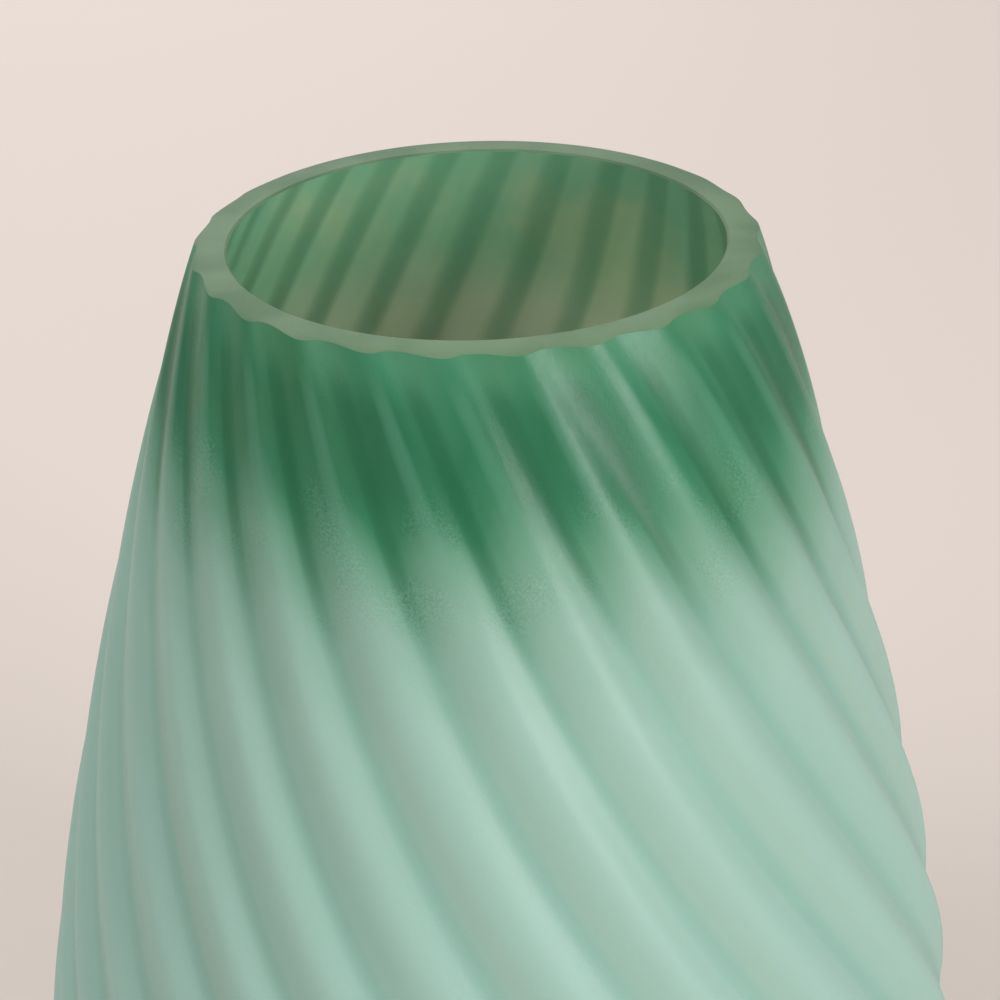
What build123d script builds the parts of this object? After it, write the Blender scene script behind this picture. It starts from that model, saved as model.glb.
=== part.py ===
from build123d import *
import math
import os

# A blown glass vase: a round mouth ground flat, a flaring pear-shaped body, and
# raised ribs that run from the mouth to the foot and swing round as they go.
# Millimetres, +Z up, origin on the axis in the plane of the foot.
# Radii of the outside are measured to the crests of the ribs.

# Overall sizes
height = 250.0
rim_radius = 49.1
belly_radius = 91.7
belly_height = 76.0
foot_radius = 58.0

# Shape of the outer profile between those places
flare_angle = 21.9
flare_reach = 28.8
belly_reach = 36.6
heel_height = 36.0
heel_inset = 12.8
heel_rise = 16.0

# Ribs: the side that rises is the gentle one, the side that falls is the steep one
rib_count = 25
rim_rib_depth = 0.8
body_rib_depth = 2.0
foot_rib_depth = 0.5
rib_deepening = 60.0
rib_fading = 50.0
rib_rise = 0.6
rib_roundness = 1.25
first_valley = -91.2

# Swing of the ribs round the axis, in degrees, growing with the depth below the rim
swing_rate = 0.364
swing_growth = 0.0003
swing_lead = 3.0
swing_lead_depth = 10.0

# Glass thickness, measured from the bottoms of the valleys
rim_wall = 5.2
belly_wall = 4.2
floor_thickness = 9.0
hollow_heel_rise = 9.0
hollow_heel_inset = 7.1

# Ground edges and the dished underside
mouth_chamfer = 0.5
rim_bevel_angle = 25.0
rim_bevel_start = 0.15
foot_ring = 12.0
dish_depth = 2.5

# How finely the ribbed surface is drawn
sections_above_belly = 12
sections_below_belly = 7
points_per_rib = 8


def bezier_point(controls, t):
    """Point of a cubic curve in the plane of radius and height."""
    a, b, c, d = controls
    s = 1.0 - t
    weights = (s**3, 3.0 * s * s * t, 3.0 * s * t * t, t**3)
    radius = sum(w * p[0] for w, p in zip(weights, (a, b, c, d)))
    level = sum(w * p[1] for w, p in zip(weights, (a, b, c, d)))
    return radius, level


def flare_handle(radius):
    """Control point of the flare that starts at the rim with the given radius."""
    out = flare_reach * math.sin(math.radians(flare_angle))
    down = flare_reach * math.cos(math.radians(flare_angle))
    return radius + out, height - down


def outer_profile():
    """Radius and height of every rib section, from the rim down to the foot."""
    upper = [
        (rim_radius, height),
        flare_handle(rim_radius),
        (belly_radius, belly_height + belly_reach),
        (belly_radius, belly_height),
    ]
    lower = [
        (belly_radius, belly_height),
        (belly_radius, heel_height),
        (belly_radius - heel_inset, heel_rise),
        (foot_radius, 0.0),
    ]
    above = [bezier_point(upper, i / sections_above_belly) for i in range(sections_above_belly)]
    below = [bezier_point(lower, i / sections_below_belly) for i in range(sections_below_belly + 1)]
    return above + below


def smooth_step(x):
    x = min(max(x, 0.0), 1.0)
    return x * x * (3.0 - 2.0 * x)


def rib_depth(level):
    """Depth of the valleys: deeper below the rim, dying out towards the foot."""
    opened = smooth_step((height - level) / rib_deepening)
    faded = smooth_step(1.0 - level / rib_fading)
    full = rim_rib_depth + (body_rib_depth - rim_rib_depth) * opened
    return full + (foot_rib_depth - full) * faded


def rib_swing(level):
    """Angle that the ribs have turned through at a height, in degrees."""
    below = height - level
    lead = swing_lead * (1.0 - math.exp(-below / swing_lead_depth))
    return swing_rate * below + swing_growth * below * below + lead


def rib_rise_at(share):
    """Height of one rib, 0 in the valley and 1 on the crest, along its width."""
    if share < rib_rise:
        phase = 0.5 * share / rib_rise
    else:
        phase = 0.5 + 0.5 * (share - rib_rise) / (1.0 - rib_rise)
    return (0.5 - 0.5 * math.cos(2.0 * math.pi * phase)) ** rib_roundness


def rib_across(radius, level):
    """One rib at one height, from the bottom of a valley to the bottom of the next."""
    depth = rib_depth(level)
    start = first_valley + rib_swing(level)
    pitch = 360.0 / rib_count
    points = []
    for i in range(points_per_rib + 1):
        share = i / points_per_rib
        angle = math.radians(start + pitch * share)
        r = radius - depth * (1.0 - rib_rise_at(share))
        points.append(Vector(r * math.cos(angle), r * math.sin(angle), level))
    ends = []
    for turn in (start, start + pitch):
        ends.append(Vector(-math.sin(math.radians(turn)), math.cos(math.radians(turn)), 0.0))
    knots = [i / points_per_rib for i in range(points_per_rib + 1)]
    return Wire([Edge.make_spline(points, tangents=ends, parameters=knots)])


def ring_face(station):
    """Flat face that closes the ribs at one height."""
    ends = []
    for k in range(rib_count):
        turned = Rot(0.0, 0.0, 360.0 * k / rib_count) * rib_across(*station)
        ends.extend(turned.edges())
    return Face(Wire(ends))


def ribbed_block():
    """The outside of the vase as a solid block: one rib, repeated round the axis."""
    stations = outer_profile()
    stations.reverse()
    rib = Shell.make_loft([rib_across(radius, level) for radius, level in stations])
    faces = []
    for k in range(rib_count):
        faces.extend((Rot(0.0, 0.0, 360.0 * k / rib_count) * rib).faces())
    faces.append(ring_face(stations[0]))
    faces.append(ring_face(stations[-1]))
    return Solid(Shell(faces))


def hollow():
    """The smooth round space inside, from above the mouth down to the floor."""
    mouth_radius = rim_radius - rim_rib_depth - rim_wall
    belly_inside = belly_radius - body_rib_depth - belly_wall
    above_rim = height + 10.0
    mouth = (mouth_radius, 0.0, height)
    belly = (belly_inside, 0.0, belly_height)
    floor_middle = (0.0, 0.0, floor_thickness)
    handle_radius, handle_level = flare_handle(mouth_radius)
    upper = Edge.make_bezier(
        mouth,
        (handle_radius, 0.0, handle_level),
        (belly_inside, 0.0, belly_height + belly_reach),
        belly,
    )
    lower = Edge.make_bezier(
        belly,
        (belly_inside, 0.0, floor_thickness + hollow_heel_rise),
        (belly_inside - hollow_heel_inset, 0.0, floor_thickness),
        floor_middle,
    )
    axis = Edge.make_line(floor_middle, (0.0, 0.0, above_rim))
    lid = Edge.make_line((0.0, 0.0, above_rim), (mouth_radius, 0.0, above_rim))
    side = Edge.make_line((mouth_radius, 0.0, above_rim), mouth)
    half = Face(Wire([upper, lower, axis, lid, side]))
    return revolve(half, Axis.Z, 360.0)


def mouth_bevel():
    """Ring that breaks the sharp inner edge of the ground mouth."""
    mouth_radius = rim_radius - rim_rib_depth - rim_wall
    inner = (mouth_radius - 1.0, 0.0, height - mouth_chamfer - 1.0)
    outer = (mouth_radius + mouth_chamfer + 1.0, 0.0, height + 1.0)
    corner = (mouth_radius - 1.0, 0.0, height + 1.0)
    half = Face(Wire.make_polygon([inner, outer, corner], close=True))
    return revolve(half, Axis.Z, 360.0)


def rim_bevel():
    """Ring that takes the sharp outer corner off the rib ends at the ground mouth."""
    start = rim_radius - rim_rib_depth - rim_bevel_start
    reach = rim_radius + 2.0
    drop = (reach - start) * math.tan(math.radians(rim_bevel_angle))
    foot = (start, 0.0, height)
    outer = (reach, 0.0, height - drop)
    corner = (reach, 0.0, height + 1.0)
    inner = (start, 0.0, height + 1.0)
    half = Face(Wire.make_polygon([foot, outer, corner, inner], close=True))
    return revolve(half, Axis.Z, 360.0)


def underside_dish():
    """Shallow dish that leaves a ground ring for the vase to stand on."""
    dish_radius = foot_radius - foot_ring
    ball_radius = (dish_radius**2 + dish_depth**2) / (2.0 * dish_depth)
    ball = Solid.make_sphere(ball_radius)
    return Pos(0.0, 0.0, dish_depth - ball_radius) * ball


def glass_body():
    """The whole vase: block, less its hollow, its mouth bevels and its dish."""
    body = ribbed_block() - hollow()
    body = body - mouth_bevel()
    body = body - rim_bevel()
    body = body - underside_dish()
    return body


os.makedirs("parts", exist_ok=True)
export_step(glass_body(), "parts/glass_body.step")
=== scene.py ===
import math
import bpy
import bmesh
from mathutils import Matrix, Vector


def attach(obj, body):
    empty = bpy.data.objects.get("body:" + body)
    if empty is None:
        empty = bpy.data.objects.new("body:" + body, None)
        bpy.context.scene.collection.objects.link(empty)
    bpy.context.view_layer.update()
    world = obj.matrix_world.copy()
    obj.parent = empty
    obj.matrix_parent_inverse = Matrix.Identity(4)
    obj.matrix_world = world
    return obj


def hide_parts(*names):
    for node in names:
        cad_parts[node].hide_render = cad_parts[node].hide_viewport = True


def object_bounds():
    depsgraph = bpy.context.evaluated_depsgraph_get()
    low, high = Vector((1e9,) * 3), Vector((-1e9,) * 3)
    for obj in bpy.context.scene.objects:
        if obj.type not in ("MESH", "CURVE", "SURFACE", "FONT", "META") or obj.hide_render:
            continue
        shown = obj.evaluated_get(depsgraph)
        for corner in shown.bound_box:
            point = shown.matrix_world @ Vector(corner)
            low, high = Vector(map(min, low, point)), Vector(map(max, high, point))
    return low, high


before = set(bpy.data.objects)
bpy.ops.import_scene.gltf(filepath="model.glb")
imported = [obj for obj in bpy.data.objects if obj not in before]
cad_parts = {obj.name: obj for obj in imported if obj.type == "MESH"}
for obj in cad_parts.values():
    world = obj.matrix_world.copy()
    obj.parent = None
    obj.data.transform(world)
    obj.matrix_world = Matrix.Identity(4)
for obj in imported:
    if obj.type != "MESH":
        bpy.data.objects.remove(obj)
cadLow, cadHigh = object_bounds()
bpy.context.scene.view_settings.view_transform = "Standard"
print("frame loaded")


class Flow:
    # a value on its way through a material's nodes, so that sums read as sums
    def __init__(self, recipe, socket):
        self.recipe = recipe
        self.socket = socket

    def maths(self, operation, first, second):
        return self.recipe.add("ShaderNodeMath", {"operation": operation}, {0: first, 1: second})

    def __add__(self, other):
        return self.maths("ADD", self, other)

    def __radd__(self, other):
        return self.maths("ADD", other, self)

    def __sub__(self, other):
        return self.maths("SUBTRACT", self, other)

    def __rsub__(self, other):
        return self.maths("SUBTRACT", other, self)

    def __mul__(self, other):
        return self.maths("MULTIPLY", self, other)

    def __rmul__(self, other):
        return self.maths("MULTIPLY", other, self)


class Recipe:
    # one material and the nodes that make it
    def __init__(self, name):
        self.material = bpy.data.materials.new(name)
        self.material.use_nodes = True
        self.tree = self.material.node_tree
        self.tree.nodes.clear()

    def add(self, kind, settings=None, values=None, output=0):
        node = self.tree.nodes.new(kind)
        for name, setting in (settings or {}).items():
            if name == "stops":
                self.setStops(node.color_ramp.elements, setting)
            else:
                setattr(node, name, setting)
        for name, value in (values or {}).items():
            if isinstance(value, Flow):
                self.tree.links.new(value.socket, node.inputs[name])
            else:
                node.inputs[name].default_value = value
        return Flow(self, node.outputs[output] if len(node.outputs) else None)

    def setStops(self, elements, stops):
        while len(elements) < len(stops):
            elements.new(1.0)
        for element, (position, colour) in zip(elements, stops):
            element.position = position
            element.color = colour

    def step(self, value, start, end):
        # 0 before start, 1 after end, smooth between
        return self.add("ShaderNodeMapRange", {"interpolation_type": "SMOOTHSTEP"},
                        {"Value": value, "From Min": start, "From Max": end})

    def blend(self, factor, first, second):
        return self.add("ShaderNodeMix", {"data_type": "RGBA"},
                        {0: factor, 6: first, 7: second}, 2)

    def noise(self, where, scale, detail=2.0):
        return self.add("ShaderNodeTexNoise", {},
                        {"Vector": where, "Scale": scale, "Detail": detail})

    def show(self, shader):
        self.add("ShaderNodeOutputMaterial", {}, {"Surface": shader})
        return self.material


# glass body, in metres and degrees; radii are to the rib crests
vase = {
    "height": cadHigh[2],
    "rimRadius": 0.0491,
    "bellyRadius": 0.0916,
    "bellyHeight": 0.0760,
    "footRadius": 0.0580,
    "flareOut": 0.01074,
    "flareDown": 0.02672,
    "bellyReach": 0.0366,
    "heelHeight": 0.0360,
    "heelInset": 0.0128,
    "heelRise": 0.0160,
    "mouthRadius": 0.0431,
    "bellyInside": 0.0855,
    "floorThickness": 0.0090,
    "hollowHeelRise": 0.0090,
    "hollowHeelInset": 0.0071,
    "mouthChamfer": 0.0005,
    "bevelStart": 0.04815,
    "bevelDrop": 0.574,
    "bevelSpread": 0.4,
    "chamferOut": 0.00014,
    "chamferDown": 0.00036,
    "footChamfer": 0.0004,
    "footRing": 0.0120,
    "dishDepth": 0.0025,
    "columnsPerRib": 16,
    "insideSteps": 34,
    "outsideSteps": 56,
    "dishSteps": 10,
    "edgeSteps": 2,
    "patternScale": 0.08,
}

# ribs: the side that rises is the gentle one
# depths and reaches in metres, swing in degrees for each millimetre below the mouth
ribs = {
    "count": 25,
    "rimDepth": 0.0008,
    "bodyDepth": 0.0020,
    "footDepth": 0.0005,
    "deepening": 0.060,
    "fading": 0.050,
    "rise": 0.6,
    "mouthRoundness": 1.25,
    "bodyRoundness": 0.90,
    "tightening": 0.04,
    "firstValley": -91.2,
    "swingRate": 0.364,
    "swingGrowth": 0.0003,
    "swingLead": 3.0,
    "swingLeadDepth": 10.0,
    "unevenSwing": 0.45,
    "unevenDepth": 0.16,
    "unevenFrom": 0.03,
}


def addProfile(bm, layer, knots, steps, ribbed):
    # adds a smooth line of radius and height to the profile
    # a knot is handle in, point, handle out
    curve = bpy.data.curves.new("profileLine", "CURVE")
    curve.dimensions = "3D"
    spline = curve.splines.new("BEZIER")
    spline.bezier_points.add(len(knots) - 1)
    spline.resolution_u = steps
    for point, (handleIn, middle, handleOut) in zip(spline.bezier_points, knots):
        point.handle_left_type = point.handle_right_type = "FREE"
        point.handle_left = (handleIn[0], 0.0, handleIn[1])
        point.co = (middle[0], 0.0, middle[1])
        point.handle_right = (handleOut[0], 0.0, handleOut[1])
    holder = bpy.data.objects.new("profileLine", curve)
    line = bpy.data.meshes.new_from_object(holder)
    before = len(bm.verts)
    bm.from_mesh(line)
    bm.verts.ensure_lookup_table()
    for vert in bm.verts[before:]:
        vert[layer] = ribbed
    bpy.data.objects.remove(holder)
    bpy.data.curves.remove(curve)
    bpy.data.meshes.remove(line)


def straight(start, end):
    # knots of a straight run
    third = ((end[0] - start[0]) / 3, (end[1] - start[1]) / 3)
    return [(start, start, (start[0] + third[0], start[1] + third[1])),
            ((end[0] - third[0], end[1] - third[1]), end, end)]


def smoothStep(x):
    x = min(max(x, 0.0), 1.0)
    return x * x * (3.0 - 2.0 * x)


def ribSwing(z):
    # how far the ribs have turned at a height, in degrees
    below = (vase["height"] - z) * 1000
    lead = ribs["swingLead"] * (1 - math.exp(-below / ribs["swingLeadDepth"]))
    return ribs["swingRate"] * below + ribs["swingGrowth"] * below * below + lead


def ribDepth(z):
    opened = smoothStep((vase["height"] - z) / ribs["deepening"])
    faded = smoothStep(1 - z / ribs["fading"])
    full = ribs["rimDepth"] + (ribs["bodyDepth"] - ribs["rimDepth"]) * opened
    return full + (ribs["footDepth"] - full) * faded


def ribRise(share, z):
    # 0 at the bottom of a valley, 1 on the crest; the valleys tighten below the mouth
    tightened = smoothStep((vase["height"] - z) / ribs["tightening"])
    change = ribs["bodyRoundness"] - ribs["mouthRoundness"]
    roundness = ribs["mouthRoundness"] + change * tightened
    if share < ribs["rise"]:
        phase = 0.5 * share / ribs["rise"]
    else:
        phase = 0.5 + 0.5 * (share - ribs["rise"]) / (1 - ribs["rise"])
    return (0.5 - 0.5 * math.cos(2 * math.pi * phase)) ** roundness


def makeVase():
    v = vase
    top = v["height"]
    bm = bmesh.new()
    ribbed = bm.verts.layers.float.new("ribbed")
    # crest is 0 in a valley and 1 on a crest; flank is 1 on the gentle side, -1 on the steep one
    crest = bm.verts.layers.float.new("crest")
    flank = bm.verts.layers.float.new("flank")
    # a place that hardly changes along a rib
    along = bm.verts.layers.float_vector.new("alongRib")

    floorMiddle = (0.0, v["floorThickness"])
    bellyIn = (v["bellyInside"], v["bellyHeight"])
    mouthIn = (v["mouthRadius"] + v["chamferOut"], top - v["chamferDown"])
    mouthTop = (v["mouthRadius"] + v["mouthChamfer"], top)
    rimTop = (v["bevelStart"], top)
    rimOut = (v["rimRadius"], top)
    belly = (v["bellyRadius"], v["bellyHeight"])
    footOut = (v["footRadius"] + v["footChamfer"], v["footChamfer"])
    footIn = (v["footRadius"] - v["footChamfer"], 0.0)
    dishEdge = (v["footRadius"] - v["footRing"], 0.0)
    dishMiddle = (0.0, v["dishDepth"])

    addProfile(bm, ribbed, [
        (floorMiddle, floorMiddle, (v["bellyInside"] - v["hollowHeelInset"], v["floorThickness"])),
        ((v["bellyInside"], v["floorThickness"] + v["hollowHeelRise"]), bellyIn,
         (v["bellyInside"], v["bellyHeight"] + v["bellyReach"])),
        ((v["mouthRadius"] + v["flareOut"], top - v["flareDown"]), mouthIn, mouthIn),
    ], v["insideSteps"], 0.0)
    addProfile(bm, ribbed, straight(mouthIn, mouthTop), v["edgeSteps"], 0.0)
    bm.verts.new((rimTop[0], 0.0, rimTop[1]))
    addProfile(bm, ribbed, [
        (rimOut, rimOut, (v["rimRadius"] + v["flareOut"], top - v["flareDown"])),
        ((v["bellyRadius"], v["bellyHeight"] + v["bellyReach"]), belly,
         (v["bellyRadius"], v["heelHeight"])),
        ((v["bellyRadius"] - v["heelInset"], v["heelRise"]), footOut, footOut),
    ], v["outsideSteps"], 1.0)
    addProfile(bm, ribbed, straight(footOut, footIn), v["edgeSteps"], 1.0)
    addProfile(bm, ribbed, [
        (dishEdge, dishEdge, (dishEdge[0] * 0.67, dishMiddle[1] * 0.67)),
        ((dishEdge[0] * 0.33, dishMiddle[1]), dishMiddle, dishMiddle),
    ], v["dishSteps"], 0.0)
    bmesh.ops.remove_doubles(bm, verts=bm.verts, dist=1e-6)

    def nearest(place):
        spot = Vector((place[0], 0.0, place[1]))
        return min(bm.verts, key=lambda vert: (vert.co - spot).length)

    bm.edges.new((nearest(mouthTop), nearest(rimTop)))      # the ground flat of the mouth
    bm.edges.new((nearest(rimTop), nearest(rimOut)))        # the bevel that breaks its outer edge
    bm.edges.new((nearest(footIn), nearest(dishEdge)))      # the ring that the vase stands on

    columns = ribs["count"] * v["columnsPerRib"]
    bmesh.ops.spin(bm, geom=bm.verts[:] + bm.edges[:], cent=(0, 0, 0), axis=(0, 0, 1),
                   dvec=(0, 0, 0), angle=2 * math.pi, steps=columns,
                   use_merge=True, use_duplicate=False)
    bmesh.ops.remove_doubles(bm, verts=bm.verts, dist=1e-6)

    for vert in bm.verts:
        radius = math.hypot(vert.co.x, vert.co.y)
        if radius < 1e-6:
            continue
        turn = math.degrees(math.atan2(vert.co.y, vert.co.x))
        share = (turn * ribs["count"] / 360) % 1.0
        if share > 0.9999:
            share = 0.0
        rise = ribRise(share, vert.co.z)
        vert[crest] = rise
        vert[flank] = math.sin(2 * math.pi * share)
        scale = v["patternScale"]
        vert[along] = (vert.co.x / radius * scale, vert.co.y / radius * scale, vert.co.z * scale)
        # blown glass is never quite even: ribs wander and some are a little shallower
        around = math.radians(turn)
        wander = (math.sin(3 * around + 9 * vert.co.z)
                  + 0.7 * math.sin(7 * around - 14 * vert.co.z + 1.3))
        shallow = (0.5 + 0.25 * math.sin(5 * around + 11 * vert.co.z)
                   + 0.25 * math.sin(11 * around + 2.1))
        depth = ribDepth(vert.co.z) * (1 - ribs["unevenDepth"] * shallow)
        radius -= vert[ribbed] * depth * (1 - rise)
        if vert[ribbed] > 0 and vert.co.z > top - 1e-5:
            drop = v["bevelDrop"] * (radius - v["bevelStart"])
            vert.co.z -= drop
            radius += v["bevelSpread"] * drop
        below = smoothStep((top - vert.co.z) / ribs["unevenFrom"])
        uneven = ribs["unevenSwing"] * wander * below
        turn = math.radians(turn + ribs["firstValley"] + ribSwing(vert.co.z) + uneven)
        vert.co.x = radius * math.cos(turn)
        vert.co.y = radius * math.sin(turn)

    bmesh.ops.recalc_face_normals(bm, faces=bm.faces)
    for face in bm.faces:
        # finishes: 0 the outside and the underside, 1 the hollow, 2 the ground rim
        middle = face.calc_center_median()
        marks = [vert[ribbed] for vert in face.verts]
        if middle.z > top - 1e-5 or (middle.z > top - 6e-4 and min(marks) == 0.0):
            face.material_index = 2
        elif middle.z > v["dishDepth"] + 1e-4 and max(marks) == 0.0:
            face.material_index = 1
    mesh = bpy.data.meshes.new("vaseBody")
    bm.to_mesh(mesh)
    bm.free()
    mesh.shade_smooth()
    mesh.set_sharp_from_angle(angle=math.radians(30))
    body = bpy.data.objects.new("vaseBody", mesh)
    bpy.context.collection.objects.link(body)
    return body


# frosted glass, its sprayed tint, and the painted shade, highlight and sheen on its ribs; a place
# is millimetres below the mouth, colours are linear
tint = {
    "reach": 160.0,
    "stops": [
        (0, (0.058, 0.220, 0.120, 1)),
        (5, (0.040, 0.200, 0.104, 1)),
        (14, (0.024, 0.165, 0.078, 1)),
        (24, (0.038, 0.200, 0.105, 1)),
        (34, (0.135, 0.305, 0.208, 1)),
        (46, (0.255, 0.420, 0.340, 1)),
        (62, (0.310, 0.482, 0.415, 1)),
        (160, (0.328, 0.520, 0.462, 1)),
    ],
    "drift": 16.0,
    "driftSize": 22.0,
    "streak": 5.0,
    "streakSize": 160.0,
    "lean": 60.0,
    "valleyReach": 9.0,
    "specks": 24.0,
    "speckPatchSize": 70.0,
    "olive": (0.060, 0.175, 0.062, 1),
    "oliveShare": 0.28,
    "oliveSize": 38.0,
    "darkest": (0.008, 0.105, 0.044, 1),
    "poolShare": 0.5,
    "poolSize": 42.0,
    # how far the painted shade in the creases darkens them
    "creaseShadeShare": 0.5,
    # painted highlight: a lighter green along the rib crests
    "crestHighlight": (0.150, 0.360, 0.255, 1),
    "crestHighlightShare": 0.22,
    # painted sheen: a warm pale colour on some gentle slopes
    "warmSheen": (0.360, 0.430, 0.330, 1),
    "warmSheenShare": 0.25,
    "warmSheenSize": 60.0,
    # painted shade: a darker teal towards the creases
    "tealShade": (0.060, 0.290, 0.210, 1),
    "tealShadeSlope": 0.10,
    "tealShadeCrease": 0.14,
    "satinSize": 900.0,
    "grainSize": 2400.0,
    "transmission": 0.30,
    "roughness": 0.38,
    "specular": 0.16,
    "bump": 0.12,
}

inside = {
    "reach": 100.0,
    "stops": [
        (0, (0.36, 0.76, 0.48, 1)),
        (22, (0.46, 0.82, 0.50, 1)),
        (42, (0.90, 0.96, 0.66, 1)),
        (100, (0.94, 0.97, 0.76, 1)),
    ],
    "drift": 30.0,
    "driftSize": 24.0,
    "olive": (0.90, 0.92, 0.52, 1),
    "oliveShare": 0.5,
    "oliveSize": 34.0,
    # painted shade: the darker green of the stripes seen through the wall
    "valley": (0.16, 0.46, 0.26, 1),
    "paintedStripeShare": 0.55,
    "satinSize": 700.0,
    "transmission": 0.62,
    "roughness": 0.24,
}

groundRim = {
    "colour": (0.165, 0.265, 0.150, 1),
    "shade": (0.105, 0.200, 0.100, 1),
    "cloudSize": 55.0,
    "gritSize": 1600.0,
    "specular": 0.2,
    "transmission": 0.4,
    "roughness": 0.68,
}


def frostedGlass():
    r = Recipe("frostedGlass")
    place = r.add("ShaderNodeTexCoord", {}, {}, "Object")
    crest = r.add("ShaderNodeAttribute", {"attribute_name": "crest"}, {}, "Fac")
    flank = r.add("ShaderNodeAttribute", {"attribute_name": "flank"}, {}, "Fac")
    along = r.add("ShaderNodeAttribute", {"attribute_name": "alongRib"}, {}, "Vector")
    height = r.add("ShaderNodeSeparateXYZ", {}, {0: place}, "Z")
    side = r.add("ShaderNodeSeparateXYZ", {}, {0: place}, "X")
    below = (vase["height"] - height) * 1000

    # the spray fades in drifts, reaches lower on one side and in the valleys, ends in fine specks
    drift = r.noise(place, tint["driftSize"], 3.0) - 0.5
    streaks = r.noise(along, tint["streakSize"], 3.0) - 0.5
    grain = r.noise(place, tint["grainSize"], 2.0) - 0.5
    fadeBand = r.step(below, 14, 24) * (1 - r.step(below, 34, 52))
    line = below + drift * tint["drift"] + (crest - 0.5) * tint["valleyReach"]
    line = line + streaks * tint["streak"] - side * tint["lean"]
    patches = r.step(r.noise(place, tint["speckPatchSize"]), 0.45, 0.62)
    line = line + grain * fadeBand * patches * tint["specks"]
    stops = [(depth / tint["reach"], colour) for depth, colour in tint["stops"]]
    colour = r.add("ShaderNodeValToRGB", {"stops": stops}, {0: line * (1 / tint["reach"])})

    # the green is olive in some drifts and pools in others
    olive = r.step(r.noise(place, tint["oliveSize"]), 0.50, 0.68) * (1 - r.step(line, 26, 48))
    colour = r.blend(olive * tint["oliveShare"], colour, tint["olive"])
    pooled = r.step(r.noise(along, tint["poolSize"], 1.0), 0.44, 0.62) * r.step(below, 3, 10)
    pooled = pooled * (1 - r.step(below, 20, 32))
    colour = r.blend(pooled * tint["poolShare"], colour, tint["darkest"])

    # painted shade darkens the creases between the ribs to the darkest green, and a painted
    # highlight lightens their crests
    # painted shade: a mask that is 1 at the bottom of each crease
    creaseShade = 1 - r.step(crest, 0.0, 0.22)
    green = r.step(below, 2, 9) * (1 - r.step(line, 24, 48))
    colour = r.blend(creaseShade * green * tint["creaseShadeShare"], colour, tint["darkest"])
    # painted highlight: a lighter green line along each crest in the green zone
    crestHighlight = r.step(crest, 0.80, 1.0) * green
    colour = r.blend(crestHighlight * tint["crestHighlightShare"], colour, tint["crestHighlight"])

    # painted sheen makes the pale glass warmer on some gentle slopes, and painted shade makes it
    # tealer towards the creases
    warmSheen = r.step(flank, 0.2, 0.9) * r.step(r.noise(along, tint["warmSheenSize"]), 0.40, 0.66)
    warmSheen = warmSheen * r.step(line, 30, 60)
    colour = r.blend(warmSheen * tint["warmSheenShare"], colour, tint["warmSheen"])
    # painted shade: darker teal down the flanks and most in the creases
    tealShade = (1 - crest) * tint["tealShadeSlope"] + creaseShade * tint["tealShadeCrease"]
    colour = r.blend(tealShade * r.step(line, 26, 50), colour, tint["tealShade"])

    satin = r.noise(place, tint["satinSize"], 3.0)
    rough = tint["roughness"] + (satin - 0.5) * 0.16 + r.step(line, 20, 50) * 0.05
    relief = satin * 0.5 + grain * 0.5 + streaks * 1.5
    bump = r.add("ShaderNodeBump", {},
                 {"Strength": tint["bump"], "Distance": 0.0004, "Height": relief})
    glass = r.add("ShaderNodeBsdfPrincipled", {}, {
        "Base Color": colour,
        "Roughness": rough,
        "Normal": bump,
        "IOR": 1.5,
        "Specular IOR Level": tint["specular"],
        "Transmission Weight": tint["transmission"],
    })
    return r.show(glass)


def insideGlass():
    r = Recipe("insideGlass")
    place = r.add("ShaderNodeTexCoord", {}, {}, "Object")
    height = r.add("ShaderNodeSeparateXYZ", {}, {0: place}, "Z")
    drift = (r.noise(place, inside["driftSize"]) - 0.5) * inside["drift"]
    line = (vase["height"] - height) * 1000 + drift
    stops = [(depth / inside["reach"], colour) for depth, colour in inside["stops"]]
    colour = r.add("ShaderNodeValToRGB", {"stops": stops}, {0: line * (1 / inside["reach"])})
    cloud = r.step(r.noise(place, inside["oliveSize"], 3.0), 0.45, 0.65)
    colour = r.blend(cloud * inside["oliveShare"], colour, inside["olive"])
    crest = r.add("ShaderNodeAttribute", {"attribute_name": "crest"}, {}, "Fac")
    # painted shade: darker green stripes behind the creases stand for the outside creases seen
    # through the wall, and are gone before the floor
    paintedStripes = (1 - r.step(crest, 0.0, 0.7)) * (1 - r.step(line, 90, 170))
    colour = r.blend(paintedStripes * inside["paintedStripeShare"], colour, inside["valley"])
    satin = r.noise(place, inside["satinSize"])
    bump = r.add("ShaderNodeBump", {}, {"Strength": 0.1, "Distance": 0.0003, "Height": satin})
    glass = r.add("ShaderNodeBsdfPrincipled", {}, {
        "Base Color": colour,
        "Roughness": inside["roughness"] + (satin - 0.5) * 0.1,
        "Normal": bump,
        "IOR": 1.5,
        "Transmission Weight": inside["transmission"],
    })
    return r.show(glass)


def groundRimGlass():
    r = Recipe("groundRimGlass")
    place = r.add("ShaderNodeTexCoord", {}, {}, "Object")
    cloud = r.noise(place, groundRim["cloudSize"])
    grit = r.noise(place, groundRim["gritSize"], 3.0)
    colour = r.blend(r.step(cloud, 0.35, 0.65), groundRim["colour"], groundRim["shade"])
    bump = r.add("ShaderNodeBump", {}, {"Strength": 0.35, "Distance": 0.0002, "Height": grit})
    glass = r.add("ShaderNodeBsdfPrincipled", {}, {
        "Base Color": colour,
        "Roughness": groundRim["roughness"] + (grit - 0.5) * 0.2,
        "Normal": bump,
        "IOR": 1.5,
        "Specular IOR Level": groundRim["specular"],
        "Transmission Weight": groundRim["transmission"],
    })
    return r.show(glass)


body = makeVase()
for finish in (frostedGlass(), insideGlass(), groundRimGlass()):
    body.data.materials.append(finish)
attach(body, "root")
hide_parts("glass_body")
print("vase body made", len(body.data.polygons), "faces")


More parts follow.
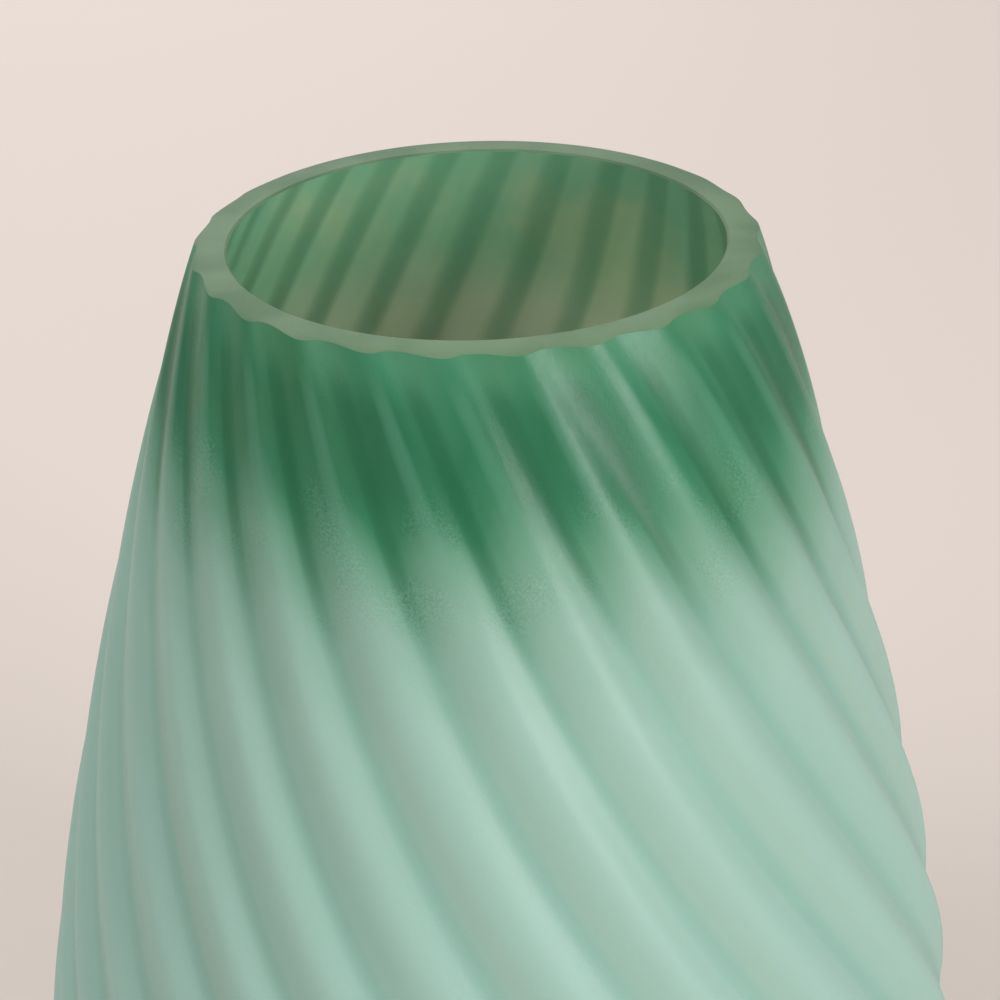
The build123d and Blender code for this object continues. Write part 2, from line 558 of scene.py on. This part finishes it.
# floor, lights and camera; metres, degrees, watts
studio = {
    "floorColour": (0.580, 0.505, 0.460, 1),
    "worldColour": (1.0, 1.0, 1.0, 1),
    "worldStrength": 0.41,
    # place, width and power of each softbox
    "keyLight": ((1.08, -1.00, 0.60), 0.8, 22.5),
    "fillLight": ((-0.80, -0.60, 1.15), 0.9, 11.5),
    "backLight": ((-0.3, 1.5, 1.3), 1.4, 22.5),
    "lightsAimAt": (0, 0, 0.13),
    "floorRadius": 4.0,
    "lens": 86.4,
    "cameraPlace": (0.00269, -0.38795, 0.40636),
    "cameraTurn": (61.746, 1.469, -0.790),
}


def makeStudio():
    bm = bmesh.new()
    bmesh.ops.create_circle(bm, cap_ends=True, segments=96, radius=studio["floorRadius"])
    mesh = bpy.data.meshes.new("floor")
    bm.to_mesh(mesh)
    bm.free()
    floor = bpy.data.objects.new("floor", mesh)
    bpy.context.collection.objects.link(floor)
    r = Recipe("paleFloor")
    floor.data.materials.append(r.show(r.add("ShaderNodeBsdfPrincipled", {}, {
        "Base Color": studio["floorColour"], "Roughness": 0.8})))

    world = bpy.data.worlds.new("softRoom")
    world.use_nodes = True
    sky = world.node_tree.nodes["Background"]
    sky.inputs["Color"].default_value = studio["worldColour"]
    sky.inputs["Strength"].default_value = studio["worldStrength"]
    bpy.context.scene.world = world

    for name in ("keyLight", "fillLight", "backLight"):
        place, size, power = studio[name]
        aim = Vector(studio["lightsAimAt"]) - Vector(place)
        lamp = bpy.data.lights.new(name, "AREA")
        lamp.shape = "SQUARE"
        lamp.size = size
        lamp.energy = power
        box = bpy.data.objects.new(name, lamp)
        box.location = place
        box.rotation_euler = aim.to_track_quat("-Z", "Y").to_euler()
        bpy.context.collection.objects.link(box)

    lens = bpy.data.cameras.new("camera")
    lens.lens = studio["lens"]
    lens.sensor_width = 36
    camera = bpy.data.objects.new("camera", lens)
    camera.location = studio["cameraPlace"]
    camera.rotation_euler = [math.radians(a) for a in studio["cameraTurn"]]
    bpy.context.collection.objects.link(camera)
    bpy.context.scene.camera = camera


makeStudio()
print("studio made")
